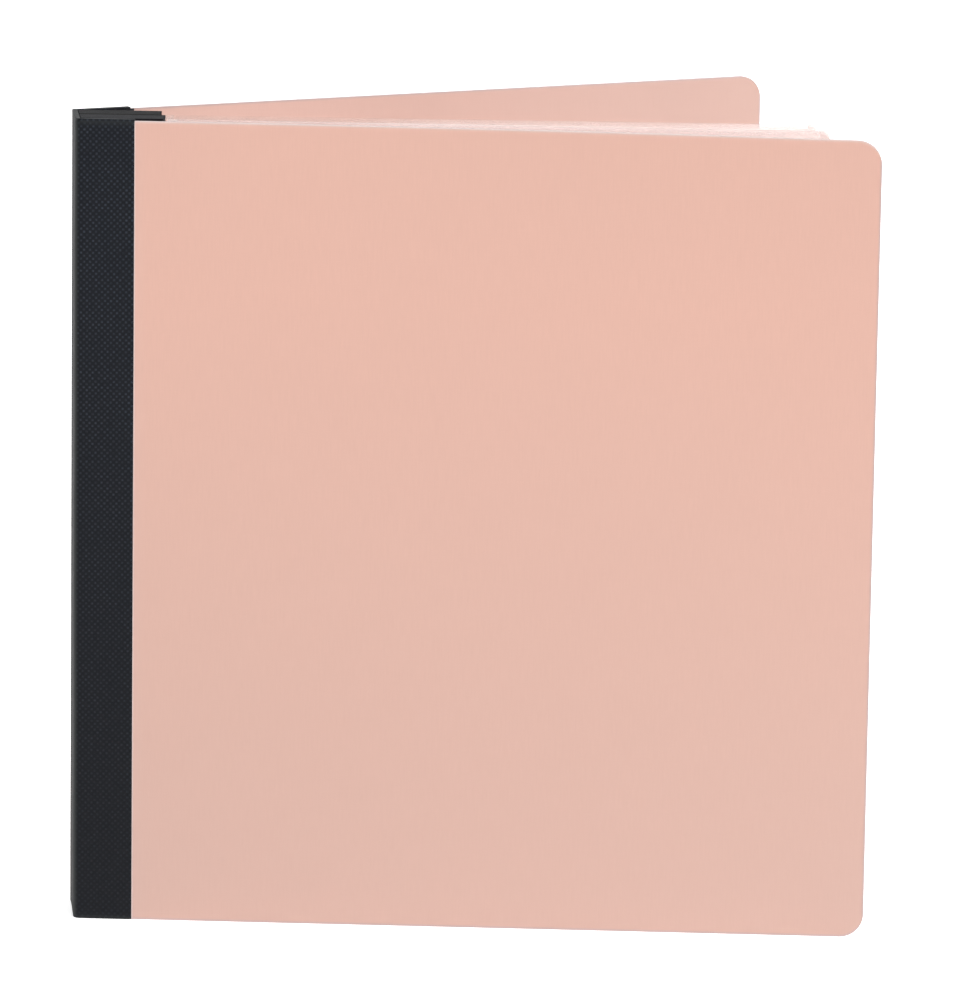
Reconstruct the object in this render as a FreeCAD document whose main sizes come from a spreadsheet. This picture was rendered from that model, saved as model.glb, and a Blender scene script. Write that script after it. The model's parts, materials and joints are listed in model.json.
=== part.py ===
import FreeCAD, Part
import math
import os
import Sketcher

# A standing scrapbook album: two flexible pink board covers hinged on a black cloth spine,
# and a bound stack of clear page protectors between them. Millimetres, +Z up, the album
# stands on its lower edges at z = 0, the spine is on the -X side, the front cover on the -Y side.
#
# Book frame: x = 0 is the outside of the spine at its front fold and y = 0 the middle of its
# thickness. The stack of leaves has slipped a little, as a used flexible album does, so the spine
# leans: its rear fold stands further to -X than the front one.
# Every sub-part is drawn about its own hinge, or in the book frame where it belongs to the
# spine, and its Placement carries it into the album's frame.

SIZES = {
    # covers
    "cover_height": 215.9,
    "cover_width": 212.3,
    "corner_radius": 6.35,
    "board_thickness": 1.1,
    "paper_thickness": 0.15,
    "tape_thickness": 0.45,
    "tape_reach": 15.9,
    "joint_strip_thickness": 0.2,
    "joint_strip_reach": 17.0,
    # spine
    "spine_thickness": 21.0,
    "spine_lean": 2.3,
    "cloth_thickness": 0.35,
    "front_fold_radius": 2.2,
    "rear_fold_radius": 1.2,
    "liner_thickness": 0.6,
    "glue_thickness": 0.5,
    # hinge lines of the covers
    "joint_gap": 0.15,
    "axis_standoff": 0.25,
    # binding guards, the black strips between the page protectors
    "guard_thickness": 1.64,
    "guard_height": 216.4,
    "bundle_gap": 0.4,
    "front_guard_reach": 23.3,
    "rear_guard_reach": 21.7,
    # page protectors
    "leaf_height": 215.3,
    "leaf_lift": 0.2,
    "front_leaf_end": 198.9,
    "rear_leaf_end": 195.9,
    "film_thickness": 0.15,
    "pocket_depth": 0.1,
    "weld_width": 2.5,
    "leaf_axis_gap": 0.5,
    "leaf_root_gap": 0.3,
    # staples that hold the stack
    "wire_radius": 0.35,
    "staple_hole_radius": 0.4,
    "staple_x": 8.0,
    "staple_crown": 12.7,
    "clinch_length": 5.0,
    "groove_depth": 0.75,
    "groove_width": 0.9,
    # angles of the stored pose, degrees from the closed album
    "front_cover_angle": 1.0,
    "back_cover_angle": 30.2,
    "front_fan_angle": 0.45,
    "rear_fan_angle": 0.7,
}

LEAF_COUNT = 10
BUNDLE_LEAVES = 5
STAPLE_HEIGHTS = (38.0, 108.2, 178.4)


class Size:
    """A length or angle with the spreadsheet expression that it is worked out by."""

    def __init__(self, value, text):
        self.value = value
        self.text = text

    def __add__(self, other):
        other = as_size(other)
        return Size(self.value + other.value, f"({self.text} + {other.text})")

    def __sub__(self, other):
        other = as_size(other)
        return Size(self.value - other.value, f"({self.text} - {other.text})")

    def __mul__(self, factor):
        return Size(self.value * factor, f"({self.text} * {factor})")

    def shared(self, part, whole):
        """This size times the ratio of two other sizes."""
        text = f"({self.text} * {part.text} / {whole.text})"
        return Size(self.value * part.value / whole.value, text)

    def __neg__(self):
        return self * -1


def as_size(number):
    if isinstance(number, Size):
        return number
    return Size(float(number), f"{float(number)}")


def turned(x, y, degrees):
    """The point (x, y) turned about the origin, seen from above."""
    a = math.radians(degrees)
    return x * math.cos(a) - y * math.sin(a), x * math.sin(a) + y * math.cos(a)


def album_centre():
    """Centre of the album's box in the book frame, in the stored pose."""
    half = SIZES["spine_thickness"] / 2
    axis_y = half + SIZES["axis_standoff"]
    skin = SIZES["axis_standoff"] + SIZES["tape_thickness"] - SIZES["paper_thickness"]
    front_length = SIZES["cover_width"] - SIZES["front_fold_radius"]
    back_length = SIZES["cover_width"] - SIZES["rear_fold_radius"]
    cover_depth = skin + 2 * SIZES["paper_thickness"] + SIZES["board_thickness"]
    front_low = turned(front_length, skin, -SIZES["front_cover_angle"])
    front_high = turned(front_length, cover_depth, -SIZES["front_cover_angle"])
    back_high = turned(back_length, -skin, SIZES["back_cover_angle"])
    x_low = -SIZES["spine_lean"]
    x_high = SIZES["front_fold_radius"] + front_high[0]
    y_low = -axis_y + front_low[1]
    y_high = axis_y + back_high[1]
    return (x_low + x_high) / 2, (y_low + y_high) / 2


doc = FreeCAD.newDocument("scrapbook_album")
sheet = doc.addObject("Spreadsheet::Sheet", "Sizes")
SIZES["centre_x"], SIZES["centre_y"] = (round(c, 4) for c in album_centre())
for row, (alias, number) in enumerate(SIZES.items(), start=1):
    sheet.set(f"A{row}", alias)
    sheet.set(f"B{row}", f"{number}")
    sheet.setAlias(f"B{row}", alias)
doc.recompute()

SZ = {alias: Size(number, f"Sizes.{alias}") for alias, number in SIZES.items()}
HALF_SPINE = SZ["spine_thickness"] * 0.5
FACE_LOW = SZ["front_fold_radius"] - HALF_SPINE
FACE_HIGH = HALF_SPINE - SZ["rear_fold_radius"]
ORIGIN_X = -SZ["centre_x"]
ORIGIN_Y = -SZ["centre_y"]
sub_parts = []


def base_plane(body, role):
    return next(f for f in body.Origin.OriginFeatures if f.Role == role)


def new_body(label):
    body = doc.addObject("PartDesign::Body", label)
    body.Label = label
    sub_parts.append(body)
    return body


def place(part, x, y, z, degrees=None):
    """Puts a sub-part at x, y, z, turned about the vertical through its own origin."""
    for name, size in (("x", as_size(x)), ("y", as_size(y)), ("z", as_size(z))):
        part.setExpression(f"Placement.Base.{name}", size.text)
    if degrees is not None:
        part.Placement.Rotation = FreeCAD.Rotation(FreeCAD.Vector(0, 0, 1), degrees.value)
        part.setExpression("Placement.Rotation.Angle", degrees.text)


def new_sketch(body, name, role, offset=None):
    """An empty sketch on one of the body's own planes, raised along the plane's normal."""
    sketch = body.newObject("Sketcher::SketchObject", name)
    sketch.AttachmentSupport = [(base_plane(body, role), "")]
    sketch.MapMode = "FlatFace"
    if offset is not None:
        sketch.setExpression("AttachmentOffset.Base.z", offset.text)
    return sketch


def pin_point(sketch, edge, vertex, x, y):
    """Dimensions one vertex of a sketch from the sketch's origin."""
    for axis, kind, size in ((-2, "DistanceX", as_size(x)), (-1, "DistanceY", as_size(y))):
        if size.value == 0:
            sketch.addConstraint(Sketcher.Constraint("PointOnObject", edge, vertex, axis))
        else:
            index = sketch.addConstraint(
                Sketcher.Constraint(kind, -1, 1, edge, vertex, size.value)
            )
            sketch.setExpression(f"Constraints[{index}]", size.text)


def closed_outline(sketch, points, arcs=None):
    """Draws a closed outline through points. arcs maps an edge's number to (centre, radius, turn),
    where turn is 1 for an arc that runs anticlockwise from the edge's first point."""
    arcs = arcs or {}
    corners = [(as_size(x), as_size(y)) for x, y in points]
    starts = []
    for number, corner in enumerate(corners):
        following = corners[(number + 1) % len(corners)]
        start = FreeCAD.Vector(corner[0].value, corner[1].value, 0)
        end = FreeCAD.Vector(following[0].value, following[1].value, 0)
        if number in arcs:
            centre_point, radius, turn = arcs[number]
            centre = FreeCAD.Vector(centre_point[0].value, centre_point[1].value, 0)
            from_point, to_point = (start, end) if turn > 0 else (end, start)
            low = math.atan2(from_point.y - centre.y, from_point.x - centre.x)
            high = math.atan2(to_point.y - centre.y, to_point.x - centre.x)
            circle = Part.Circle(centre, FreeCAD.Vector(0, 0, 1), radius.value)
            edge = sketch.addGeometry(Part.ArcOfCircle(circle, low, high))
            index = sketch.addConstraint(Sketcher.Constraint("Radius", edge, radius.value))
            sketch.setExpression(f"Constraints[{index}]", radius.text)
            starts.append((edge, 1 if turn > 0 else 2, 2 if turn > 0 else 1))
        else:
            edge = sketch.addGeometry(Part.LineSegment(start, end))
            starts.append((edge, 1, 2))
    for number, (edge, first, last) in enumerate(starts):
        next_edge, next_first, _ = starts[(number + 1) % len(starts)]
        sketch.addConstraint(Sketcher.Constraint("Coincident", edge, last, next_edge, next_first))
        pin_point(sketch, edge, first, *corners[number])


def rectangle(sketch, x_low, x_high, y_low, y_high):
    closed_outline(
        sketch, [(x_low, y_low), (x_high, y_low), (x_high, y_high), (x_low, y_high)]
    )


def circle(sketch, x, y, radius):
    x, y = as_size(x), as_size(y)
    edge = sketch.addGeometry(
        Part.Circle(FreeCAD.Vector(x.value, y.value, 0), FreeCAD.Vector(0, 0, 1), radius.value)
    )
    index = sketch.addConstraint(Sketcher.Constraint("Radius", edge, radius.value))
    sketch.setExpression(f"Constraints[{index}]", radius.text)
    pin_point(sketch, edge, 3, x, y)


def pad(body, sketch, length, reverse=False):
    feature = body.newObject("PartDesign::Pad", f"{sketch.Name}_pad")
    feature.Profile = sketch
    feature.Reversed = reverse
    feature.setExpression("Length", length.text)
    sketch.Visibility = False
    return feature


def pocket(body, sketch, depth, reverse=False):
    """Cuts a pocket and makes sure that it removed something."""
    doc.recompute()
    before = body.Shape.Volume
    feature = body.newObject("PartDesign::Pocket", f"{sketch.Name}_pocket")
    feature.Profile = sketch
    feature.Reversed = reverse
    feature.setExpression("Length", depth.text)
    sketch.Visibility = False
    doc.recompute()
    if body.Shape.Volume >= before - 1e-6:
        raise RuntimeError(f"{feature.Name} cut nothing from {body.Label}")
    return feature


def upright_plate(label, x_low, x_high, z_high, y_near, thickness, z_low=0):
    """A flat plate that stands in a plane parallel to XZ, its near face at y_near."""
    body = new_body(label)
    sketch = new_sketch(body, f"{label}_outline", "XZ_Plane", -y_near)
    rectangle(sketch, x_low, x_high, z_low, z_high)
    pad(body, sketch, thickness, reverse=True)
    return body


def round_fore_corners(body, radius):
    """Rounds the two corners of a cover layer at its fore edge."""
    doc.recompute()
    shape = body.Shape
    x_high = shape.BoundBox.XMax
    names = []
    for number, edge in enumerate(shape.Edges, start=1):
        box = edge.BoundBox
        if box.XMin > x_high - 0.01 and box.ZLength < 0.01 and box.YLength > 0.01:
            names.append(f"Edge{number}")
    plate = body.Tip
    fillet = body.newObject("PartDesign::Fillet", f"{body.Label}_corners")
    fillet.Base = (plate, names)
    fillet.setExpression("Radius", radius.text)
    body.Tip = fillet
    doc.recompute()


# --- spine ---------------------------------------------------------------------------------

def lean_at(y):
    """How far the leaning spine stands to -X at y, between its front and rear folds."""
    return SZ["spine_lean"].shared(as_size(y) - FACE_LOW, FACE_HIGH - FACE_LOW)


def make_spine_cloth():
    """The cloth over the spine, from the front hinge line round both folds to the rear one."""
    label = "spine_cloth"
    body = new_body(label)
    sketch = new_sketch(body, f"{label}_section", "XY_Plane")
    front, rear = SZ["front_fold_radius"], SZ["rear_fold_radius"]
    cloth, depth, lean = SZ["cloth_thickness"], SZ["spine_thickness"], SZ["spine_lean"]
    front_centre = (front, front)
    rear_centre = (rear - lean, depth - rear)
    points = [
        (front, as_size(0)),
        (as_size(0), front),
        (-lean, depth - rear),
        (rear - lean, depth),
        (rear - lean, depth - cloth),
        (cloth - lean, depth - rear),
        (cloth, front),
        (front, cloth),
    ]
    arcs = {
        0: (front_centre, front, -1),
        2: (rear_centre, rear, -1),
        4: (rear_centre, rear - cloth, 1),
        6: (front_centre, front - cloth, 1),
    }
    closed_outline(sketch, points, arcs)
    pad(body, sketch, SZ["cover_height"])
    place(body, ORIGIN_X, ORIGIN_Y - HALF_SPINE, 0)


def make_spine_layer(label, x_near, thickness, y_low, y_high, height):
    """A flat layer behind the spine cloth: the stiffening strip, or the glue on the guards."""
    body = new_body(label)
    sketch = new_sketch(body, f"{label}_section", "XY_Plane")
    x_front, x_rear = x_near - lean_at(y_low), x_near - lean_at(y_high)
    depth = y_high - y_low
    closed_outline(
        sketch,
        [(x_front, 0), (x_front + thickness, 0), (x_rear + thickness, depth), (x_rear, depth)],
    )
    pad(body, sketch, height)
    place(body, ORIGIN_X, ORIGIN_Y + y_low, 0)


STACK_START = SZ["cloth_thickness"] + SZ["liner_thickness"] + SZ["glue_thickness"]
STACK_HALF = SZ["guard_thickness"] * BUNDLE_LEAVES + SZ["bundle_gap"] * 0.5


def guard_near_y(number):
    """Front face of guard number 0 to 9 in the book frame."""
    y = SZ["guard_thickness"] * number - STACK_HALF
    return y + SZ["bundle_gap"] if number >= BUNDLE_LEAVES else y


def staple_leg_heights(middle):
    half = SZ["staple_crown"] * 0.5
    return half * -1 + middle, half + middle


def make_guard(number):
    """A black binding strip with holes for the staples' legs. The first one has grooves for the
    crowns, and the last one for the clinched ends."""
    label = f"guard_strip_{number + 1:02d}"
    front_bundle = number < BUNDLE_LEAVES
    reach = SZ["front_guard_reach"] if front_bundle else SZ["rear_guard_reach"]
    start = STACK_START - lean_at(guard_near_y(number))
    body = upright_plate(
        label, 0, reach - start, SZ["guard_height"], as_size(0), SZ["guard_thickness"]
    )
    hole_x = SZ["staple_x"] - start
    holes = new_sketch(body, f"{label}_holes", "XZ_Plane")
    for middle in STAPLE_HEIGHTS:
        for z in staple_leg_heights(middle):
            circle(holes, hole_x, z, SZ["staple_hole_radius"])
    pocket(body, holes, SZ["guard_thickness"])
    half_groove = SZ["groove_width"] * 0.5
    if number == 0:
        grooves = new_sketch(body, f"{label}_grooves", "XZ_Plane")
        for middle in STAPLE_HEIGHTS:
            low, high = staple_leg_heights(middle)
            rectangle(
                grooves, hole_x - half_groove, hole_x + half_groove,
                low - half_groove, high + half_groove,
            )
        pocket(body, grooves, SZ["groove_depth"])
    if number == LEAF_COUNT - 1:
        grooves = new_sketch(body, f"{label}_grooves", "XZ_Plane", -SZ["guard_thickness"])
        reach_in = SZ["clinch_length"] + half_groove
        for middle in STAPLE_HEIGHTS:
            low, high = staple_leg_heights(middle)
            for z_low, z_high in (
                (low - half_groove, low + reach_in),
                (high - reach_in, high + half_groove),
            ):
                rectangle(
                    grooves, hole_x - half_groove, hole_x + half_groove, z_low, z_high
                )
        pocket(body, grooves, SZ["groove_depth"], reverse=True)
    place(body, ORIGIN_X + start, ORIGIN_Y + guard_near_y(number), 0)


def rod(name, start, direction, length):
    """A straight length of staple wire from start along a row axis."""
    wire = doc.addObject("Part::Cylinder", name)
    wire.setExpression("Radius", SZ["wire_radius"].text)
    wire.setExpression("Height", length.text)
    wire.Placement.Rotation = FreeCAD.Rotation(FreeCAD.Vector(0, 0, 1), direction)
    for axis, size in zip("xyz", start):
        wire.setExpression(f"Placement.Base.{axis}", size.text)
    return wire


def knuckle(name, centre):
    """The rounded bend between two straight lengths of staple wire."""
    ball = doc.addObject("Part::Sphere", name)
    ball.setExpression("Radius", SZ["wire_radius"].text)
    for axis, size in zip("xyz", centre):
        ball.setExpression(f"Placement.Base.{axis}", size.text)
    return ball


def make_staples():
    """Three wire staples through the whole stack: crown in front, legs clinched behind."""
    up, back = FreeCAD.Vector(0, 0, 1), FreeCAD.Vector(0, 1, 0)
    inset = SZ["groove_depth"] - SZ["wire_radius"]
    crown_y = inset - STACK_HALF
    clinch_y = STACK_HALF - inset
    x = SZ["staple_x"]
    staples = []
    for count, middle in enumerate(STAPLE_HEIGHTS, start=1):
        low, high = staple_leg_heights(middle)
        name = f"staple_{count}"
        pieces = [rod(f"{name}_crown", (x, crown_y, low), up, SZ["staple_crown"])]
        for side, z, clinch in (("low", low, up), ("high", high, up * -1)):
            pieces.append(rod(f"{name}_{side}_leg", (x, crown_y, z), back, clinch_y - crown_y))
            pieces.append(rod(f"{name}_{side}_end", (x, clinch_y, z), clinch, SZ["clinch_length"]))
            pieces.append(knuckle(f"{name}_{side}_bend", (x, crown_y, z)))
            pieces.append(knuckle(f"{name}_{side}_heel", (x, clinch_y, z)))
        staple = doc.addObject("Part::MultiFuse", name)
        staple.Shapes = pieces
        staples.append(staple)
    group = doc.addObject("Part::Compound", "binding_staples")
    group.Label = "binding_staples"
    group.Links = staples
    place(group, ORIGIN_X, ORIGIN_Y, 0)
    sub_parts.append(group)


# --- covers --------------------------------------------------------------------------------

def make_cover(side, sign, fold_radius, hinge_x, rest_angle):
    """One cover about its own hinge axis. sign is -1 for the front cover and 1 for the back.
    A layer's depth is measured inwards from the axis: the tape stands proud of the outer paper,
    which meets its edge, and both lie on the board."""
    axis_x = ORIGIN_X + hinge_x
    axis_y = ORIGIN_Y + (HALF_SPINE + SZ["axis_standoff"]) * sign
    joint = SZ["joint_gap"]
    fore = SZ["cover_width"] - fold_radius
    height = SZ["cover_height"]
    tape_end = SZ["tape_reach"] - fold_radius
    strip_end = SZ["joint_strip_reach"] - fold_radius
    paper, board = SZ["paper_thickness"], SZ["board_thickness"]
    board_depth = SZ["axis_standoff"] + SZ["tape_thickness"]
    inner_depth = board_depth + board
    layers = (
        ("tape", joint, tape_end, SZ["axis_standoff"], SZ["tape_thickness"], False),
        ("outer_paper", tape_end, fore, board_depth - paper, paper, True),
        ("board", joint, fore, board_depth, board, True),
        ("inner_paper", joint, fore, inner_depth, paper, True),
        ("joint_strip", joint, strip_end, inner_depth + paper, SZ["joint_strip_thickness"], False),
    )
    for layer, start, end, depth, thickness, rounded in layers:
        near = depth if sign < 0 else -depth - thickness
        body = upright_plate(f"{side}_{layer}", start, end, height, near, thickness)
        if rounded:
            round_fore_corners(body, SZ["corner_radius"])
        place(body, axis_x, axis_y, 0, rest_angle * sign)


# --- page protectors -----------------------------------------------------------------------

def leaf_angle(number):
    """Rest angle of a leaf from the closed album: negative leans to the front cover."""
    if number < BUNDLE_LEAVES:
        return SZ["front_fan_angle"] * (-(BUNDLE_LEAVES - number) / BUNDLE_LEAVES)
    return SZ["rear_fan_angle"] * ((number - BUNDLE_LEAVES + 1) / BUNDLE_LEAVES)


def make_film(number, face, sign, leaf_width):
    """One clear film of a protector. Its rim is welded to the other film on three sides, and
    the shallow recess between the rims is the pocket, open at the top."""
    label = f"sleeve_{number + 1:02d}_{face}_film"
    full = SZ["film_thickness"] + SZ["pocket_depth"]
    weld = SZ["weld_width"]
    body = new_body(label)
    outline = new_sketch(body, f"{label}_outline", "XZ_Plane")
    start = SZ["leaf_root_gap"]
    rectangle(outline, start, start + leaf_width, 0, SZ["leaf_height"])
    pad(body, outline, full, reverse=sign > 0)
    recess = new_sketch(body, f"{label}_recess", "XZ_Plane")
    rectangle(recess, start + weld, start + leaf_width - weld, weld, SZ["leaf_height"] + weld)
    pocket(body, recess, SZ["pocket_depth"], reverse=sign < 0)
    return body


def make_leaf(number):
    """A page protector of two films, hinged at the edge of its guard strip."""
    front_bundle = number < BUNDLE_LEAVES
    reach = SZ["front_guard_reach"] if front_bundle else SZ["rear_guard_reach"]
    end = SZ["front_leaf_end"] if front_bundle else SZ["rear_leaf_end"]
    axis_x = reach + SZ["leaf_axis_gap"]
    axis_y = guard_near_y(number) + SZ["guard_thickness"] * 0.5
    leaf_width = end - axis_x - SZ["leaf_root_gap"]
    for face, sign in (("front", -1), ("rear", 1)):
        body = make_film(number, face, sign, leaf_width)
        place(
            body, ORIGIN_X + axis_x, ORIGIN_Y + axis_y, SZ["leaf_lift"], leaf_angle(number)
        )


make_spine_cloth()
make_spine_layer(
    "spine_liner", SZ["cloth_thickness"], SZ["liner_thickness"],
    FACE_LOW, FACE_HIGH, SZ["cover_height"],
)
make_spine_layer(
    "spine_glue", SZ["cloth_thickness"] + SZ["liner_thickness"], SZ["glue_thickness"],
    SZ["guard_thickness"] * 0.25 - STACK_HALF, STACK_HALF, SZ["cover_height"],
)
for guard_number in range(LEAF_COUNT):
    make_guard(guard_number)
make_staples()
make_cover(
    "front", -1, SZ["front_fold_radius"], SZ["front_fold_radius"], SZ["front_cover_angle"]
)
make_cover(
    "back", 1, SZ["rear_fold_radius"], SZ["rear_fold_radius"] - SZ["spine_lean"],
    SZ["back_cover_angle"],
)
for leaf_number in range(LEAF_COUNT):
    make_leaf(leaf_number)

doc.recompute()
for item in doc.Objects:
    if "Invalid" in item.State or "Error" in item.State:
        raise RuntimeError(f"{item.Label} did not compute: {item.State}")
for part in sub_parts:
    if part.Shape.isNull() or not part.Shape.isValid():
        raise RuntimeError(f"{part.Label} has no valid shape")

os.makedirs("parts", exist_ok=True)
for part in sub_parts:
    part.Shape.exportStep(os.path.join("parts", f"{part.Label}.step"))
print(f"{len(sub_parts)} sub-parts written")
print(f"centre of the box in the book frame: {SIZES['centre_x']}, {SIZES['centre_y']}")
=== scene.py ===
"""Looks of the scrapbook album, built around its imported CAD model.

All lengths are in metres and all places are in the row frame.
"""

import json
import math

import bpy
import numpy as np
from mathutils import Matrix, Vector, noise


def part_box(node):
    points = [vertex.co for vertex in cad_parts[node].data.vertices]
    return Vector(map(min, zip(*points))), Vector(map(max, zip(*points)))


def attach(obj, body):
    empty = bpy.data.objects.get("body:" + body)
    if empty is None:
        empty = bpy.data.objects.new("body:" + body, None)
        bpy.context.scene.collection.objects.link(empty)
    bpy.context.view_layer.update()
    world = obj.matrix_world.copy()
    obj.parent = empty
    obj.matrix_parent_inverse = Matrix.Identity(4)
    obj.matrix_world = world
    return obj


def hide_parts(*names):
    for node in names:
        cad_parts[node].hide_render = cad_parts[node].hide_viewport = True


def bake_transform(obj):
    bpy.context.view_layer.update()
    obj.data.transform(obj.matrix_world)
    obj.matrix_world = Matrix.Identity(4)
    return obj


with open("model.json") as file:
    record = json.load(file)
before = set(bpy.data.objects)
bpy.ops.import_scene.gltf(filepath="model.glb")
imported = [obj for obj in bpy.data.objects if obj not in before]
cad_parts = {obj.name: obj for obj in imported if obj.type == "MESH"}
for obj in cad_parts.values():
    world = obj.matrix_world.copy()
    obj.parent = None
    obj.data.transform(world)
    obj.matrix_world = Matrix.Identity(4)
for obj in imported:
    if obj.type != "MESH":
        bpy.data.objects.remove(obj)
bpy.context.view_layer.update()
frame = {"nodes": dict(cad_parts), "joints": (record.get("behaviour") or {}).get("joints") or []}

MM = 0.001
# Pitch of the dot lattice on the cloth. Every second dot sits between the rows, so
# a dot's nearest neighbours are 1.13 mm away.
LATTICE = 1.6 * MM
# Edges that turn by more degrees than this stay crisp under smooth shading.
SHARP_ANGLE = 40.0
# Leaves in the whole stack and in its front bundle.
LEAVES = 10
FRONT_BUNDLE = 5
JOINTS = {j["name"]: j for j in frame["joints"]}
UP = np.array([0.0, 0.0, 1.0])
# The middle of the gap between the two bundles, where a painted shadow darkens the guards.
BUNDLE_GAP = (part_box("guard_strip_05")[1].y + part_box("guard_strip_06")[0].y) / 2


# ---------------------------------------------------------------- places


class Plate:
    """The local frame of a body that turns about an upright hinge: u runs away
    from the hinge, d runs towards the inside of the book, and z is up."""

    def __init__(self, joint):
        j = JOINTS[joint]
        self.origin = np.array(j["pos_m"], float)
        side = 1.0 if j["axis"][2] < 0 else -1.0
        a = math.radians(-j["range_deg"][0])
        self.along = np.array([math.cos(a), -side * math.sin(a), 0.0])
        self.inward = np.array([math.sin(a), side * math.cos(a), 0.0])

    def place(self, u, d, z):
        u, d, z = np.broadcast_arrays(u, d, z)
        return (
            self.origin
            + u[..., None] * self.along
            + d[..., None] * self.inward
            + z[..., None] * UP
        )

    def span(self, node):
        """Lowest and highest (u, d, z) of a CAD node."""
        mesh = frame["nodes"][node].data
        co = np.array([v.co for v in mesh.vertices], float) - self.origin
        local = np.stack([co @ self.along, co @ self.inward, co[:, 2]], -1)
        return local.min(0), local.max(0)


def flat_cells(rows, columns):
    """Quads of a grid whose vertices are numbered column by column."""
    return [
        (i * rows + j, (i + 1) * rows + j, (i + 1) * rows + j + 1, i * rows + j + 1)
        for i in range(columns - 1)
        for j in range(rows - 1)
    ]


def sheet_mesh(name, near, far, u, z, extra, flip, body=None):
    """A closed sheet between two grids of points, near and far, both of the
    shape (columns, rows, 3). u and z are the same grid laid flat, extra holds
    the named attributes of its points, and flip turns the faces over."""
    columns, rows = near.shape[:2]
    count = columns * rows
    points = np.concatenate([near.reshape(-1, 3), far.reshape(-1, 3)])
    top = flat_cells(rows, columns)
    faces = [tuple(reversed(f)) for f in top]
    faces += [tuple(k + count for k in f) for f in top]
    rim = [i * rows for i in range(columns)]
    rim += [(columns - 1) * rows + j for j in range(1, rows)]
    rim += [i * rows + rows - 1 for i in range(columns - 2, -1, -1)]
    rim += list(range(rows - 2, 0, -1))
    for a, b in zip(rim, rim[1:] + rim[:1]):
        faces.append((a, b, b + count, a + count))
    if flip:
        faces = [tuple(reversed(f)) for f in faces]
    mesh = bpy.data.meshes.new(name)
    mesh.from_pydata(points.tolist(), [], faces)
    mesh.update()
    uv = np.stack([u, z], -1).reshape(-1, 2)
    both = np.concatenate([uv, uv])
    layer = mesh.uv_layers.new(name="flat")
    corner = np.zeros(len(mesh.loops), np.int64)
    mesh.loops.foreach_get("vertex_index", corner)
    layer.data.foreach_set("uv", both[corner].astype(np.float32).ravel())
    for label, values in extra.items():
        attribute = mesh.attributes.new(label, "FLOAT", "POINT")
        doubled = np.concatenate([values.ravel(), values.ravel()])
        attribute.data.foreach_set("value", doubled.astype(np.float32))
    mesh.polygons.foreach_set("use_smooth", [True] * len(mesh.polygons))
    obj = bpy.data.objects.new(name, mesh)
    bpy.context.scene.collection.objects.link(obj)
    mark_sharp(obj)
    if body:
        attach(obj, body)
    return obj


def mark_sharp(obj):
    """Marks the edges that smooth shading would otherwise round off."""
    mesh = obj.data
    normals = np.zeros(len(mesh.polygons) * 3)
    mesh.polygons.foreach_get("normal", normals)
    normals = normals.reshape(-1, 3)
    sides = {}
    for face in mesh.polygons:
        for key in face.edge_keys:
            sides.setdefault(key, []).append(face.index)
    limit = math.cos(math.radians(SHARP_ANGLE))
    sharp = [False] * len(mesh.edges)
    for edge in mesh.edges:
        pair = sides.get(edge.key, [])
        if len(pair) == 2 and normals[pair[0]] @ normals[pair[1]] < limit:
            sharp[edge.index] = True
    attribute = mesh.attributes.new("sharp_edge", "BOOLEAN", "EDGE")
    attribute.data.foreach_set("value", sharp)


def smooth_noise(u, z, scale_u, scale_z, seed):
    """A soft random field over two coordinate grids, from about -1 to 1."""
    out = np.zeros(u.shape)
    flat_u, flat_z, flat = u.ravel(), z.ravel(), out.ravel()
    for k in range(flat.size):
        flat[k] = noise.noise(Vector((flat_u[k] / scale_u, flat_z[k] / scale_z, seed)))
    return out


# ---------------------------------------------------------------- materials


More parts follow.
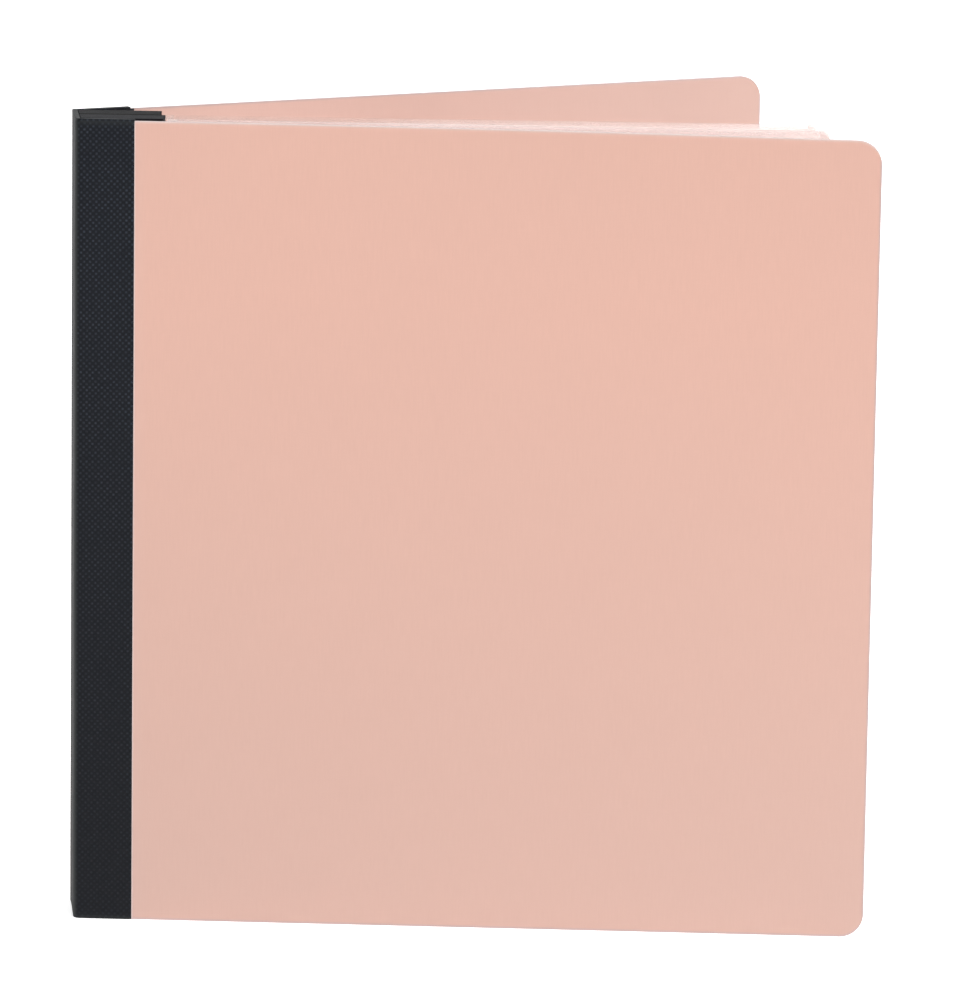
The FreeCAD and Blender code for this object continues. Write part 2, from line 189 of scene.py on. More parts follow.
class Paint:
    """A node material with short calls for the nodes that repeat."""

    def __init__(self, name):
        self.material = bpy.data.materials.new(name)
        self.material.use_nodes = True
        self.tree = self.material.node_tree
        self.tree.nodes.clear()
        output = self.tree.nodes.new("ShaderNodeOutputMaterial")
        self.shader = self.tree.nodes.new("ShaderNodeBsdfPrincipled")
        self.join(self.shader.outputs["BSDF"], output.inputs["Surface"])

    def join(self, source, target):
        self.tree.links.new(source, target)

    def feed(self, socket, value):
        if isinstance(value, bpy.types.NodeSocket):
            self.join(value, socket)
        else:
            socket.default_value = value

    def set(self, **values):
        for name, value in values.items():
            self.feed(self.shader.inputs[name.replace("_", " ")], value)

    def uv(self, scale=(1, 1, 1)):
        coord = self.tree.nodes.new("ShaderNodeUVMap")
        coord.uv_map = "flat"
        return self.stretch(coord.outputs["UV"], scale)

    def place(self, scale=(1, 1, 1)):
        coord = self.tree.nodes.new("ShaderNodeTexCoord")
        return self.stretch(coord.outputs["Object"], scale)

    def stretch(self, vector, scale):
        mapping = self.tree.nodes.new("ShaderNodeMapping")
        mapping.inputs["Scale"].default_value = scale
        self.join(vector, mapping.inputs["Vector"])
        return mapping.outputs["Vector"]

    def attribute(self, name):
        found = self.tree.nodes.new("ShaderNodeAttribute")
        found.attribute_name = name
        return found.outputs["Fac"]

    def noise(self, vector, detail, rough):
        made = self.tree.nodes.new("ShaderNodeTexNoise")
        made.inputs["Scale"].default_value = 1.0
        made.inputs["Detail"].default_value = detail
        made.inputs["Roughness"].default_value = rough
        self.join(vector, made.inputs["Vector"])
        return made.outputs["Fac"]

    def split(self, vector):
        made = self.tree.nodes.new("ShaderNodeSeparateXYZ")
        self.join(vector, made.inputs[0])
        return made.outputs

    def math(self, operation, a, b=None):
        made = self.tree.nodes.new("ShaderNodeMath")
        made.operation = operation
        for socket, value in zip(made.inputs, (a, b)):
            if value is not None:
                self.feed(socket, value)
        return made.outputs[0]

    def range(self, value, low, high, new_low=0.0, new_high=1.0):
        made = self.tree.nodes.new("ShaderNodeMapRange")
        self.feed(made.inputs["Value"], value)
        for name, number in (
            ("From Min", low),
            ("From Max", high),
            ("To Min", new_low),
            ("To Max", new_high),
        ):
            made.inputs[name].default_value = number
        return made.outputs["Result"]

    def mix(self, factor, a, b):
        made = self.tree.nodes.new("ShaderNodeMix")
        made.data_type = "RGBA"
        self.feed(made.inputs["Factor"], factor)
        for name, value in (("A", a), ("B", b)):
            socket = [s for s in made.inputs if s.name == name and s.type == "RGBA"][0]
            if not isinstance(value, bpy.types.NodeSocket):
                value = (*value, 1.0)
            self.feed(socket, value)
        return [s for s in made.outputs if s.type == "RGBA"][0]

    def bump(self, height, distance, strength):
        made = self.tree.nodes.new("ShaderNodeBump")
        made.inputs["Distance"].default_value = distance
        made.inputs["Strength"].default_value = strength
        self.join(height, made.inputs["Height"])
        return made.outputs["Normal"]


def linear(r, g, b):
    """An sRGB colour from 0 to 255 as linear light."""
    return tuple(
        (c / 255 / 12.92) if c / 255 <= 0.04045 else ((c / 255 + 0.055) / 1.055) ** 2.4
        for c in (r, g, b)
    )


def paint_paper():
    """Blush cover paper: matt, with the fine crossed threads of a linen emboss."""
    p = Paint("cover_paper")
    upright = p.noise(p.uv((2600, 150, 1)), 2.0, 0.6)
    level = p.noise(p.uv((150, 2600, 1)), 2.0, 0.6)
    threads = p.math("ADD", p.math("MULTIPLY", upright, 0.75), p.math("MULTIPLY", level, 0.25))
    cloudy = p.noise(p.uv((14, 14, 1)), 2.0, 0.5)
    fibre = p.noise(p.uv((5200, 5200, 1)), 2.0, 0.7)
    height = p.split(p.uv())["Y"]
    # Painted light from above: the paper is lighter towards the head and darker towards the foot.
    painted_light_from_above = p.mix(p.range(height, 10 * MM, 170 * MM), linear(224, 188, 176), linear(239, 192, 176))
    # pale is painted light on the inner paper, for light bounced between the pale films; dim is
    # painted shade on it towards the fore edge.
    base = p.mix(p.attribute("pale"), painted_light_from_above, linear(252, 212, 199))
    base = p.mix(p.attribute("dim"), base, linear(213, 179, 168))
    base = p.mix(p.attribute("glint"), base, linear(252, 236, 236))
    base = p.mix(p.range(threads, 0.35, 0.65, 0.0, 0.06), base, linear(190, 140, 125))
    base = p.mix(p.range(cloudy, 0.3, 0.7, 0.0, 0.12), base, linear(226, 186, 172))
    base = p.mix(p.range(fibre, 0.55, 0.8, 0.0, 0.10), base, linear(244, 205, 192))
    # rim is a grey-lavender line on the cut edges: partly the grey board showing at the cut,
    # partly painted shade on the edge.
    base = p.mix(p.math("MULTIPLY", p.attribute("rim"), 0.9), base, linear(200, 180, 184))
    p.set(Base_Color=base, Roughness=p.range(threads, 0.3, 0.7, 0.72, 0.62))
    p.set(Specular_IOR_Level=0.28)
    grain = p.math("ADD", threads, p.math("MULTIPLY", fibre, 0.35))
    p.set(Normal=p.bump(grain, 0.04 * MM, 0.2))
    return p.material


def paint_board():
    """Pale bookboard core: pressed grey fibres in thin layers."""
    p = Paint("cover_board")
    layers = p.noise(p.place((900, 900, 60)), 3.0, 0.6)
    fibres = p.noise(p.place((2500, 2500, 2500)), 3.0, 0.7)
    height = p.split(p.place())["Z"]
    base = p.mix(p.range(layers, 0.35, 0.65), linear(208, 192, 194), linear(226, 213, 215))
    # Painted light: the top edge, where light from above falls, is painted cream; the other edges
    # keep the grey board colour.
    base = p.mix(p.range(height, 215.2 * MM, 215.7 * MM), base, linear(255, 244, 240))
    base = p.mix(p.range(fibres, 0.55, 0.75, 0.0, 0.15), base, linear(200, 190, 190))
    p.set(Base_Color=base, Roughness=0.92, Specular_IOR_Level=0.2)
    p.set(Normal=p.bump(fibres, 0.15 * MM, 0.6))
    return p.material


def paint_bookcloth():
    """Black coated buckram: a lattice of small raised dots over a fine weave, polished smooth
    where it is folded or cut, and painted a little lighter there, partly for rubbed cloth and
    partly as a painted highlight."""
    p = Paint("bookcloth")
    cell = p.split(p.uv())
    wave = 2 * math.pi / LATTICE
    across = p.math("COSINE", p.math("MULTIPLY", cell["X"], wave))
    upward = p.math("COSINE", p.math("MULTIPLY", cell["Y"], wave))
    dots = p.range(p.math("MULTIPLY", across, upward), -0.05, 0.85)
    uneven = p.noise(p.uv((820, 640, 1)), 2.0, 0.6)
    warp = p.noise(p.uv((4200, 600, 1)), 2.0, 0.5)
    weft = p.noise(p.uv((600, 4200, 1)), 2.0, 0.5)
    weave = p.math("ADD", warp, weft)
    blotch = p.noise(p.uv((120, 60, 1)), 3.0, 0.55)
    wear_and_highlight = p.attribute("wear_and_highlight")
    shade = p.attribute("shade")
    emboss = p.math("MULTIPLY", dots, p.range(wear_and_highlight, 0.0, 0.8, 1.0, 0.12))
    # shine is a painted highlight on the dot tops, weaker towards the foot because the light
    # falls from above.
    shine = p.math("MULTIPLY", emboss, p.range(uneven, 0.3, 0.62, 0.2, 1.0))
    shine = p.math("MULTIPLY", shine, p.range(cell["Y"], 20 * MM, 160 * MM, 0.45, 1.0))
    base = p.mix(shine, linear(18, 22, 29), linear(58, 64, 76))
    base = p.mix(p.range(weave, 0.85, 1.2, 0.0, 0.4), base, linear(24, 28, 35))
    base = p.mix(p.range(blotch, 0.35, 0.7, 0.0, 0.35), base, linear(18, 23, 32))
    # Painted shade: the cloth darkens towards the foot.
    base = p.mix(p.range(cell["Y"], 190 * MM, 20 * MM, 0.0, 0.3), base, linear(12, 12, 14))
    # Lighter where rubbed, and a painted highlight along the folds, the head and the foot.
    base = p.mix(p.range(wear_and_highlight, 0.0, 1.0, 0.0, 0.75), base, linear(66, 69, 69))
    base = p.mix(p.math("MULTIPLY", shade, 0.5), base, linear(14, 16, 15))
    p.set(Base_Color=base, Specular_IOR_Level=0.22)
    p.set(Roughness=p.range(p.math("ADD", shine, weave), 0.6, 1.9, 0.72, 0.5))
    height = p.math("ADD", emboss, p.math("MULTIPLY", weave, 0.22))
    p.set(Normal=p.bump(height, 0.07 * MM, 0.8))
    return p.material


def paint_joint_cloth():
    """Plain black joint cloth: a visible over-and-under weave, matt."""
    p = Paint("joint_cloth")
    coord = p.split(p.place())
    wave = 2 * math.pi / (0.55 * MM)
    along = p.math("ADD", coord["X"], coord["Y"])
    weave = p.math(
        "MULTIPLY",
        p.math("SINE", p.math("MULTIPLY", along, wave)),
        p.math("SINE", p.math("MULTIPLY", coord["Z"], wave)),
    )
    fuzz = p.noise(p.place((3000, 3000, 3000)), 3.0, 0.7)
    lift = p.math("ADD", p.range(weave, -1, 1), p.math("MULTIPLY", fuzz, 0.6))
    base = p.mix(p.range(lift, 0.3, 1.3), linear(28, 29, 33), linear(52, 53, 58))
    p.set(Base_Color=base, Roughness=0.85, Specular_IOR_Level=0.3)
    p.set(Sheen_Weight=0.25, Sheen_Roughness=0.5)
    p.set(Normal=p.bump(lift, 0.08 * MM, 0.7))
    return p.material


def paint_guard():
    """Black binding card: dyed through, with thin pressed layers at its edges."""
    p = Paint("guard_board")
    layers = p.noise(p.place((300, 6000, 40)), 2.0, 0.5)
    fibres = p.noise(p.place((1800, 1800, 1800)), 3.0, 0.65)
    scuff = p.noise(p.place((260, 260, 90)), 3.0, 0.6)
    place = p.split(p.place())
    # Painted light and shade: the guards of the front bundle are lighter, those of the rear
    # bundle darker.
    ahead = p.range(place["Y"], BUNDLE_GAP + 0.2 * MM, BUNDLE_GAP - 0.2 * MM)
    base = p.mix(ahead, linear(20, 21, 23), linear(38, 39, 43))
    base = p.mix(p.range(layers, 0.45, 0.65, 0.0, 0.5), base, linear(46, 47, 52))
    base = p.mix(p.range(fibres, 0.55, 0.8, 0.0, 0.5), base, linear(64, 64, 70))
    base = p.mix(p.range(scuff, 0.5, 0.75, 0.0, 0.25), base, linear(50, 51, 56))
    # A painted shadow: the guards darken close to the gap between the bundles.
    off = p.math("ABSOLUTE", p.math("SUBTRACT", place["Y"], BUNDLE_GAP))
    base = p.mix(p.range(off, 1.7 * MM, 0.9 * MM), base, linear(9, 10, 12))
    p.set(Base_Color=base, Roughness=p.range(fibres, 0.3, 0.7, 0.75, 0.9))
    p.set(Specular_IOR_Level=0.15)
    p.set(Normal=p.bump(p.math("ADD", fibres, layers), 0.1 * MM, 0.55))
    return p.material


def paint_liner():
    """Spine stiffening card: grey-brown pulp board."""
    p = Paint("liner_card")
    fibres = p.noise(p.place((1500, 1500, 500)), 4.0, 0.7)
    flecks = p.noise(p.place((5000, 5000, 5000)), 2.0, 0.5)
    base = p.mix(p.range(fibres, 0.35, 0.65), linear(92, 88, 86), linear(120, 115, 110))
    base = p.mix(p.range(flecks, 0.62, 0.72, 0.0, 0.7), base, linear(60, 55, 50))
    p.set(Base_Color=base, Roughness=0.9, Specular_IOR_Level=0.2)
    p.set(Normal=p.bump(fibres, 0.1 * MM, 0.5))
    return p.material


def paint_glue():
    """Set hot-melt: waxy amber, uneven and slightly translucent."""
    p = Paint("hot_melt")
    swirl = p.noise(p.place((260, 260, 90)), 3.0, 0.5)
    pits = p.noise(p.place((1400, 1400, 1400)), 2.0, 0.5)
    base = p.mix(p.range(swirl, 0.3, 0.7), linear(214, 196, 148), linear(236, 222, 184))
    p.set(Base_Color=base, Roughness=p.range(pits, 0.3, 0.7, 0.3, 0.5))
    p.set(Subsurface_Weight=0.3, Subsurface_Scale=1 * MM)
    p.set(Normal=p.bump(p.math("ADD", swirl, pits), 0.3 * MM, 0.5))
    return p.material


def paint_staple():
    """Galvanised wire: bright, with the drawing lines along it."""
    p = Paint("staple_wire")
    drawn = p.noise(p.place((9000, 400, 9000)), 2.0, 0.5)
    bloom = p.noise(p.place((900, 900, 900)), 3.0, 0.6)
    base = p.mix(p.range(bloom, 0.35, 0.7), linear(176, 178, 182), linear(206, 208, 210))
    p.set(Base_Color=base, Metallic=1.0)
    p.set(Roughness=p.range(drawn, 0.3, 0.7, 0.28, 0.45))
    p.set(Normal=p.bump(drawn, 0.02 * MM, 0.4))
    return p.material


def paint_film():
    """Clear polypropylene film: faintly milky, glossy, white where it is welded, and painted
    whiter at its cut head as a painted highlight."""
    p = Paint("clear_film")
    haze = p.noise(p.uv((18, 12, 1)), 1.0, 0.4)
    milk = p.attribute("milk")
    flow = p.noise(p.uv((900, 25, 1)), 2.0, 0.5)
    weld = p.attribute("weld")
    cell = p.split(p.uv())
    wave = 2 * math.pi / (0.8 * MM)
    knurl = p.math(
        "MULTIPLY",
        p.math("SINE", p.math("MULTIPLY", cell["X"], wave)),
        p.math("SINE", p.math("MULTIPLY", cell["Y"], wave)),
    )
    knurl = p.math("MULTIPLY", p.range(knurl, -1, 1), weld)
    base = p.mix(p.range(haze, 0.3, 0.7), linear(250, 239, 236), linear(253, 245, 243))
    p.set(Base_Color=base, Roughness=p.range(flow, 0.3, 0.7, 0.38, 0.46))
    p.set(Specular_IOR_Level=0.3, IOR=1.49)
    # Light that has bounced between the many films.
    p.set(Emission_Color=(*linear(246, 229, 227), 1.0), Emission_Strength=0.17)
    body = p.math("MULTIPLY", milk, p.range(haze, 0.3, 0.7, 0.75, 1.25))
    p.set(Alpha=p.math("ADD", body, p.math("MULTIPLY", weld, p.math("MULTIPLY", milk, 2.0))))
    height = p.math("ADD", knurl, p.math("MULTIPLY", flow, 0.15))
    p.set(Normal=p.bump(height, 0.03 * MM, 0.08))
    return p.material


def paint_stage():
    """Pale studio surface that stays near white."""
    p = Paint("studio_white")
    tone = p.noise(p.place((3, 3, 3)), 2.0, 0.5)
    base = p.mix(p.range(tone, 0.3, 0.7), (0.90, 0.90, 0.90), (0.93, 0.93, 0.93))
    p.set(Base_Color=base, Roughness=0.9, Specular_IOR_Level=0.1)
    place = p.split(p.place())
    # The floor glows more towards the back and in a patch beside the spine: painted light that
    # washes out the album's shadow there.
    behind = p.range(place["Y"], -0.1, 0.8, 0.6, 1.0)
    beside = p.math(
        "MULTIPLY", p.range(place["X"], -0.05, -0.12), p.range(place["Y"], -0.09, -0.03)
    )
    glow = p.math("MAXIMUM", behind, p.range(beside, 0.0, 1.0, 0.6, 1.0))
    p.set(Emission_Color=(1, 1, 1, 1), Emission_Strength=glow)
    return p.material


PAINT = {
    "bookcloth": paint_bookcloth(),
    "joint_cloth": paint_joint_cloth(),
    "cover_paper": paint_paper(),
    "cover_board": paint_board(),
    "guard_board": paint_guard(),
    "liner_card": paint_liner(),
    "hot_melt": paint_glue(),
    "staple_wire": paint_staple(),
    "clear_film": paint_film(),
}


def finish_piece(obj, slot):
    obj.data.materials.clear()
    obj.data.materials.append(PAINT[slot])
    return obj


# ---------------------------------------------------------------- covers

front = Plate("front_cover_hinge")
back = Plate("back_cover_hinge")
CORNER = 6.35 * MM
COLUMN_STEP = 3.0 * MM
# How far the top fore corner of each cover stands off, and the seed of its ripple.
FLEX = {"front": (12 * MM, 3.0), "back": (0.0, 8.0)}
RIPPLE = 0.25 * MM
# Rows close to the head and the foot, as shares of the height.
EDGE_ROWS = np.array([0, 0.0012, 0.0035])


def grid_columns(u0, u1):
    """Places of the columns from the hinge side to the fore edge, closer
    together round the corners."""
    straight = u1 - CORNER
    count = max(2, round((straight - u0) / COLUMN_STEP))
    plain = np.linspace(u0 + 0.45 * MM, straight, count + 1)[:-1]
    plain = np.concatenate([[u0, u0 + 0.2 * MM], plain])
    turn = np.radians(np.linspace(0, 90, 15))
    return np.concatenate([plain, straight + CORNER * np.sin(turn)])


def cover_grid(u0, u1, z0, z1, inset):
    """A grid over a cover with rounded fore corners, drawn in by inset."""
    us = grid_columns(u0, u1 - inset)
    over = np.clip(us - (u1 - inset - CORNER), 0, CORNER)
    cut = CORNER - np.sqrt(np.maximum(CORNER**2 - over**2, 0))
    low, high = z0 + inset + cut, z1 - inset - cut
    share = np.concatenate([EDGE_ROWS, np.linspace(0.012, 0.988, 70), 1 - EDGE_ROWS[::-1]])
    u = np.repeat(us[:, None], len(share), 1)
    z = low[:, None] + (high - low)[:, None] * share
    return u, z


def flex(u, z, side, wide, tall, start):
    """How far a flexible cover stands off its flat plane, away from the pages."""
    along = np.clip((u - start) / (wide - start), 0, 1)
    top, seed = FLEX[side]
    ripple = RIPPLE * smooth_noise(u, z, 90 * MM, 120 * MM, seed)
    lift = top * np.clip(z / tall, 0, 1) ** 1.5
    return lift * along**2 + (ripple + RIPPLE) * along


def build_cover(side, plate, body):
    """The outer paper, the board and the inner paper of one cover."""
    wide, _, tall = plate.span(f"{side}_board")[1]
    start = plate.span(f"{side}_outer_paper")[0][0] + 2.5 * MM
    for part, slot, inset in (
        ("outer_paper", "cover_paper", 0.0),
        ("board", "cover_board", 0.05 * MM),
        ("inner_paper", "cover_paper", 0.0),
    ):
        low, high = plate.span(f"{side}_{part}")
        u, z = cover_grid(low[0], high[0], low[2], high[2], inset)
        off = flex(u, z, side, wide, tall, start)
        near = plate.place(u, low[1] - off, z)
        far = plate.place(u, high[1] - off, z)
        across = np.clip(u / wide, 0, 1)
        inner = 1.0 if part == "inner_paper" else 0.0
        edge = np.minimum(z - z[:, :1], high[0] - inset - u)
        head = np.exp(-(((z[:, -1:] - z) / (0.25 * MM)) ** 2))
        # rim: a grey-lavender line on the cut edges, partly the grey board at the cut and partly
        # painted shade on the edge.
        rim = np.exp(-((edge / (0.35 * MM)) ** 2))
        glint = (1 - inner) * np.exp(-(((u - low[0]) / (0.25 * MM)) ** 2))
        # Along the head the front cover gets a painted highlight and a faint rim line, and the
        # back cover gets the full rim line.
        if side == "front":
            rim, glint = np.maximum(rim, 0.2 * head), np.maximum(glint, 0.8 * head)
        else:
            rim = np.maximum(rim, head)
        obj = sheet_mesh(
            f"{side}_cover_{part}",
            near,
            far,
            u,
            z,
            {
                "rim": rim,
                "glint": glint,
                # The inner paper: painted light all over, and painted shade towards the fore
                # edge.
                "pale": np.full_like(u, inner),
                "dim": inner * np.interp(across, [0.15, 0.46, 0.87], [0.0, 0.72, 1.0]),
            },
            side == "back",
            body,
        )
        finish_piece(obj, slot)
        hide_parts(f"{side}_{part}")


build_cover("front", front, "front_cover")
build_cover("back", back, "back_cover")


# ---------------------------------------------------------------- bookcloth

SPINE_LOW, SPINE_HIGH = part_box("spine_cloth")
FRONT_FOLD = 2.2 * MM
REAR_FOLD = 1.2 * MM
CLOTH = 0.35 * MM
TAPE_LOW, TAPE_HIGH = front.span("front_tape")
BACK_TAPE_LOW, BACK_TAPE_HIGH = back.span("back_tape")
EMBOSS = 0.035 * MM
STEP = LATTICE / 4
# The two strips meet this far from the rear fold.
SEAM = 0.1 * MM
# Length of cloth past a fold that is laid out in finer columns, over the stretch where the real
# cloth bends with the hinge.
HINGE_RUN = 0.9 * MM
# The turned-in head: how far its rows rise over the spine and step back from the
# face, and how far the last two rise on the inside.
HEAD_RISE = np.array([0.02, 0.36, 0.50]) * MM
HEAD_BACK = np.array([0.0, -0.06, -0.16]) * MM
HEAD_INSIDE = np.array([0.04, 0.44]) * MM


def arc(centre, radius, start, end, step):
    """Points and outward normals on an arc seen from above, angles in degrees."""
    length = abs(math.radians(end - start)) * radius
    turn = np.radians(np.linspace(start, end, max(4, round(length / step)) + 1))
    normal = np.stack([np.cos(turn), np.sin(turn)], -1)
    return np.array(centre) + radius * normal, normal


def run(start, end, normal, step):
    """Points and one normal on a straight run."""
    start, end = np.array(start, float), np.array(end, float)
    count = max(2, round(np.linalg.norm(end - start) / step)) + 1
    share = np.linspace(0, 1, count)[:, None]
    return start + (end - start) * share, np.repeat(np.array([normal], float), count, 0)


def tape_runs(plate, low, high, fold_end):
    """Runs of cloth from the end of a fold to the edge of the paper on a cover."""
    corner = plate.origin + plate.inward * low[1]
    bend = corner[:2] + (plate.along * HINGE_RUN)[:2]
    end = (corner + plate.along * high[0])[:2]
    normal = -plate.inward[:2]
    return [run(fold_end, bend, normal, STEP / 4), run(bend, end, normal, STEP)]


def tape_turn(plate, strip, low):
    """Depth of the turned-in head over a cover, past its inner joint strip."""
    return plate.span(strip)[1][1] - low[1] + 0.15 * MM


def rounded(distance):
    """How far the face falls away near a cut edge."""
    return 0.12 * MM * np.clip(1 - distance / (0.25 * MM), 0, 1) ** 2


def weave_strip(name, paths, thick, turn_in, folds, face_end, replaced, seed):
    """A strip of embossed cloth along a plan-view path, from bottom to top. At the
    head it is turned in over the layers behind it. The last rows are the turn.

    thick and turn_in give the depth of the cloth and of its turned head along the path, folds
    lists (place, width, strength of the polishing and painted highlight), and the cloth is in
    shade up to face_end."""
    points = [paths[0][0]]
    normals = [paths[0][1]]
    for p, n in paths[1:]:
        points.append(p[1:])
        normals.append(n[1:])
    path, normal = np.concatenate(points), np.concatenate(normals)
    step = np.linalg.norm(np.diff(path, axis=0), axis=1)
    s = np.concatenate([[0], np.cumsum(step)])
    thickness = thick(s)
    tall = SPINE_HIGH.z
    ends = [STEP, tall - STEP, tall]
    zs = np.union1d(np.arange(0, tall - 1.5 * STEP, LATTICE / 2), ends)
    rows = len(zs)
    zs = np.append(zs, tall + HEAD_RISE)
    S, Z = np.meshgrid(s, zs, indexing="ij")
    edge = np.maximum(np.minimum(Z, tall - Z), 0)
    # The head and the foot are painted lighter, partly rubbed cloth and partly a painted
    # highlight on the turned edge.
    wear_and_highlight = np.exp(-((edge / (0.9 * MM)) ** 2)) * 0.4
    wear_and_highlight[:, rows:] = 0.15
    # Each fold is painted lighter: partly rubbed cloth, partly a painted highlight where the fold
    # catches the light.
    for place, width, highlight_and_polish in folds:
        wear_and_highlight = np.maximum(wear_and_highlight, highlight_and_polish * np.exp(-(((S - place) / width) ** 2)))
    pattern = np.cos(2 * np.pi * S / LATTICE) * np.cos(2 * np.pi * Z / LATTICE)
    height = EMBOSS * pattern * (1 - 0.85 * np.clip(wear_and_highlight, 0, 1))
    height += 0.10 * MM * smooth_noise(S, Z, 12 * MM, 35 * MM, seed)
    height -= rounded(edge) + rounded(s[-1] - S)
    height[:, rows:] += HEAD_BACK
    # The relief fades out at the seam, so that the two strips meet there.
    height *= np.clip(S / (1.0 * MM), 0, 1)
    depth = np.repeat(thickness[:, None], len(zs), 1)
    depth[:, rows + 1 :] = turn_in(s)[:, None]
    outer = np.zeros((*S.shape, 3))
    inner = np.zeros((*S.shape, 3))
    for k in range(2):
        outer[..., k] = path[:, None, k] + normal[:, None, k] * height
        inner[..., k] = path[:, None, k] - normal[:, None, k] * depth
    outer[..., 2] = inner[..., 2] = Z
    inner[:, rows + 1 :, 2] = tall + HEAD_INSIDE
    shade = np.clip((face_end - S) / (0.5 * MM), 0, 1)
    obj = sheet_mesh(name, outer, inner, S, Z, {"wear_and_highlight": wear_and_highlight, "shade": shade}, True)
    finish_piece(obj, "bookcloth")
    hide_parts(*replaced)
    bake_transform(obj)


# The spine leans, so its face stands further back at the rear fold than at the
# front one.
front_fold_x = front.origin[0] - FRONT_FOLD
front_fold_y = SPINE_LOW.y + FRONT_FOLD
rear_fold_y = SPINE_HIGH.y - REAR_FOLD
face_run = np.array([front_fold_x - SPINE_LOW.x, front_fold_y - rear_fold_y])
face_length = float(np.linalg.norm(face_run))
face_run = face_run / face_length
face_normal = (face_run[1], -face_run[0])
seam = np.array([SPINE_LOW.x, rear_fold_y]) + face_run * SEAM

# The front strip runs from the rear side of the spine, round the front fold and
# on to the front cover, where it ends at the edge of the paper.
hinge_x = front.origin[0]
front_turn = tape_turn(front, "front_joint_strip", TAPE_LOW)
fold_s = face_length - SEAM
front_s = fold_s + math.pi / 2 * FRONT_FOLD
weave_strip(
    "bookcloth_spine_and_front",
    [
        run(seam, (front_fold_x, front_fold_y), face_normal, STEP),
        arc((hinge_x, front_fold_y), FRONT_FOLD, 180, 270, STEP * 0.6),
        *tape_runs(front, TAPE_LOW, TAPE_HIGH, (hinge_x, SPINE_LOW.y)),
    ],
    lambda s: np.where(s < front_s, CLOTH, TAPE_HIGH[1] - TAPE_LOW[1]),
    lambda s: np.interp(s, [front_s, front_s + 0.5 * MM], [1.35 * MM, front_turn]),
    [(fold_s + 0.60 * FRONT_FOLD, 0.8 * MM, 1.0), (0.2 * MM, 1.0 * MM, 0.7)],
    fold_s + 0.1 * FRONT_FOLD,
    ["spine_cloth", "front_tape"],
    11.0,
)

# The back strip runs from the seam round the rear fold and on to the back cover.
hinge_x = back.origin[0]
back_turn = tape_turn(back, "back_joint_strip", BACK_TAPE_LOW)
back_s = SEAM + math.pi / 2 * REAR_FOLD
weave_strip(
    "bookcloth_back",
    [
        run(seam, (SPINE_LOW.x, rear_fold_y), face_normal, STEP / 4),
        arc((hinge_x, rear_fold_y), REAR_FOLD, 180, 90, STEP / 2),
        *tape_runs(back, BACK_TAPE_LOW, BACK_TAPE_HIGH, (hinge_x, SPINE_HIGH.y)),
    ],
    lambda s: np.where(s < back_s, CLOTH, BACK_TAPE_HIGH[1] - BACK_TAPE_LOW[1]),
    lambda s: np.interp(
        s,
        [0, 0.3 * MM, back_s, back_s + 1.5 * MM],
        [1.35 * MM, 0.9 * MM, 0.9 * MM, back_turn],
    ),
    [(0.6 * MM, 1.5 * MM, 0.9)],
    0.0,
    ["back_tape"],
    12.0,
)


# ---------------------------------------------------------------- page protectors

WELD = 2.5 * MM
LEAF_CORNER = 2.2 * MM
# Heights of the rows at the cut head of a film, below its top.
HEAD_ROWS = np.array([0.4, 0.2, 0.0]) * MM
# How far the pocket's films stand back from their welds, and bulge at the top.
RECESS = 0.10 * MM
BELLY = 0.10 * MM
WAVE = 0.15 * MM
# The leaf whose cut head catches the light.
BRIGHT_LEAF = 4


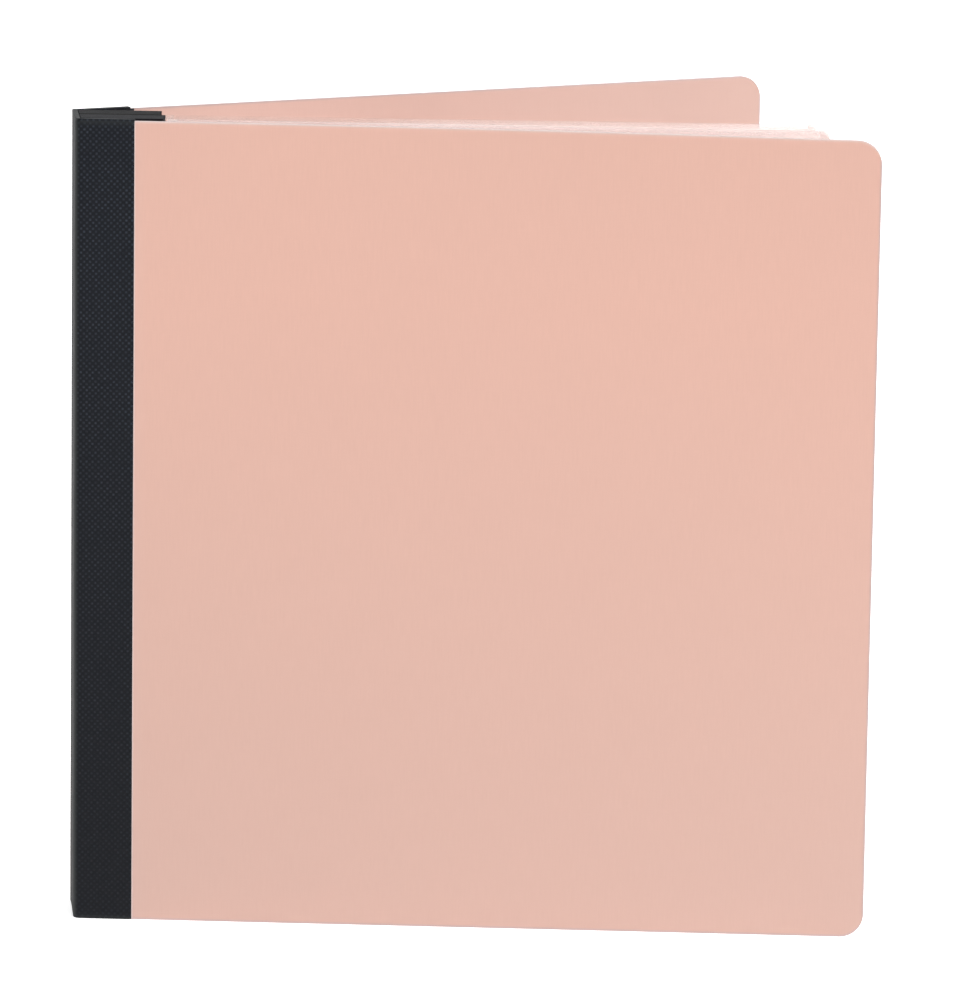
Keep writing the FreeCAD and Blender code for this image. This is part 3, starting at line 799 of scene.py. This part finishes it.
def build_leaf(number):
    """The two films of a page protector, welded at three edges, open at the head."""
    leaf = f"leaf_{number:02d}"
    plate = Plate(f"{leaf}_hinge")
    for part in ("front", "rear"):
        node = f"sleeve_{number:02d}_{part}_film"
        low, high = plate.span(node)
        us = np.unique(
            np.concatenate(
                [
                    [low[0], low[0] + WELD, high[0] - WELD, high[0]],
                    high[0] - LEAF_CORNER * (1 - np.sin(np.radians(np.linspace(0, 90, 8)))),
                    np.linspace(low[0] + WELD, high[0] - WELD, 30),
                    [low[0] + 1.05 * WELD, high[0] - 1.05 * WELD],
                ]
            )
        )
        zs = np.unique(
            np.concatenate(
                [
                    [low[2], low[2] + WELD, low[2] + 1.05 * WELD],
                    np.linspace(low[2] + WELD, high[2] - 0.9 * MM, 40),
                    high[2] - HEAD_ROWS,
                ]
            )
        )
        U, Z = np.meshgrid(us, zs, indexing="ij")
        over = np.clip(U - (high[0] - LEAF_CORNER), 0, LEAF_CORNER)
        cut_off = LEAF_CORNER - np.sqrt(np.maximum(LEAF_CORNER**2 - over**2, 0))
        upper = np.clip((Z - high[2] / 2) / (high[2] / 2), 0, 1)
        Z = Z - cut_off * upper
        side_gap = np.minimum(U - low[0], high[0] - U)
        weld = ((side_gap <= WELD * 1.001) | (Z - low[2] <= WELD * 1.001)).astype(float)
        share = np.clip((U - low[0]) / (high[0] - low[0]), 0, 1)
        wave = WAVE * share * smooth_noise(U, Z, 70 * MM, 90 * MM, 20.0 + number)
        inside = 1 - weld
        top = np.clip((Z - low[2]) / (high[2] - low[2]), 0, 1)
        belly = BELLY * inside * np.sin(np.pi * share) * top**2
        recess = RECESS * inside
        if abs(low[1]) > abs(high[1]):
            near = plate.place(U, low[1] + wave - belly, Z)
            far = plate.place(U, high[1] + wave - recess - belly, Z)
        else:
            near = plate.place(U, low[1] + wave + recess + belly, Z)
            far = plate.place(U, high[1] + wave + belly, Z)
        # cut paints the head of each film whiter, a painted highlight, strongest on the bright
        # leaf.
        cut = np.exp(-(((high[2] - cut_off - Z) / (0.3 * MM)) ** 2))
        if number <= FRONT_BUNDLE:
            milk = 0.025 + 0.1 * share
        else:
            milk = 0.008 + 0.08 * share**2
        milk = milk * (1 + (6.0 if number == BRIGHT_LEAF else 1.0) * cut)
        obj = sheet_mesh(
            f"page_{number:02d}_{part}_film",
            near,
            far,
            U,
            Z,
            {"weld": weld, "milk": milk},
            number > FRONT_BUNDLE,
            leaf,
        )
        finish_piece(obj, "clear_film")
        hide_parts(node)


for k in range(1, LEAVES + 1):
    build_leaf(k)


# ---------------------------------------------------------------- kept CAD nodes


def keep_node(node, slot, bevel=0.0):
    """A CAD node shown as it is, with its edges softened where bevel is given."""
    obj = finish_piece(frame["nodes"][node], slot)
    if bevel:
        made = obj.modifiers.new("softened_edges", "BEVEL")
        made.width = bevel
        made.segments = 2
        made.limit_method = "ANGLE"
        made.angle_limit = math.radians(50)


for k in range(1, LEAVES + 1):
    keep_node(f"guard_strip_{k:02d}", "guard_board", 0.15 * MM)
keep_node("front_joint_strip", "joint_cloth")
keep_node("back_joint_strip", "joint_cloth")
keep_node("spine_liner", "liner_card", 0.05 * MM)
keep_node("spine_glue", "hot_melt", 0.05 * MM)
keep_node("binding_staples", "staple_wire")


# ---------------------------------------------------------------- studio


def studio():
    """A pale floor that sweeps up into a backdrop, and two soft lights."""
    half, depth, rise, radius = 4.0, 2.2, 3.0, 0.8
    turn = np.radians(np.linspace(-90, 0, 25))
    path = [(-half, 0.0)]
    path += [(depth + radius * math.cos(t), radius + radius * math.sin(t)) for t in turn]
    path += [(depth + radius, rise)]
    xs = np.linspace(-half, half, 9)
    grid = np.array([[(x, y, z) for y, z in path] for x in xs])
    mesh = bpy.data.meshes.new("studio_floor")
    faces = flat_cells(len(path), len(xs))
    mesh.from_pydata(grid.reshape(-1, 3).tolist(), [], faces)
    mesh.polygons.foreach_set("use_smooth", [True] * len(mesh.polygons))
    floor = bpy.data.objects.new("studio_floor", mesh)
    floor.data.materials.append(paint_stage())
    bpy.context.scene.collection.objects.link(floor)

    world = bpy.data.worlds.new("studio_world")
    world.use_nodes = True
    background = world.node_tree.nodes["Background"].inputs
    background["Color"].default_value = (1, 1, 1, 1)
    background["Strength"].default_value = 0.12
    bpy.context.scene.world = world

    def area(name, place, target, size, power, tint):
        light = bpy.data.lights.new(name, "AREA")
        light.shape = "RECTANGLE"
        light.size, light.size_y = size
        light.energy = power
        light.color = tint
        obj = bpy.data.objects.new(name, light)
        obj.location = place
        towards = Vector(target) - Vector(place)
        obj.rotation_euler = towards.to_track_quat("-Z", "Y").to_euler()
        bpy.context.scene.collection.objects.link(obj)

    area("key_light", (0.5, -0.9, 1.7), (0, 0, 0.12), (0.9, 0.7), 17.3, (1.0, 0.985, 0.97))
    area("side_light", (1.5, -0.35, 1.0), (0, 0, 0.15), (0.8, 0.8), 12.8, (1.0, 1.0, 1.0))


def add_camera():
    """A camera on a long lens, nearly square to the front cover and a little above."""
    azimuth, elevation, roll = (math.radians(a) for a in (1.51, 10.42, 0.78))
    distance = 1.7792
    spine = Vector((front_fold_x, (SPINE_LOW.y + SPINE_HIGH.y) / 2, 0))
    target = spine + Vector((0.1071, 0, 0.1144))
    away = Vector(
        (
            math.sin(azimuth) * math.cos(elevation),
            -math.cos(azimuth) * math.cos(elevation),
            math.sin(elevation),
        )
    )
    data = bpy.data.cameras.new("camera")
    data.sensor_width = 36.0
    data.lens = 239.9
    data.clip_start, data.clip_end = 0.01, 50.0
    camera = bpy.data.objects.new("camera", data)
    bpy.context.scene.collection.objects.link(camera)
    turn = (-away).to_track_quat("-Z", "Y").to_matrix().to_4x4()
    camera.matrix_world = (
        Matrix.Translation(target + away * distance) @ turn @ Matrix.Rotation(roll, 4, "Z")
    )
    bpy.context.scene.camera = camera


studio()
add_camera()
bpy.context.scene.view_settings.view_transform = "Standard"
bpy.context.scene.cycles.transparent_max_bounces = 64
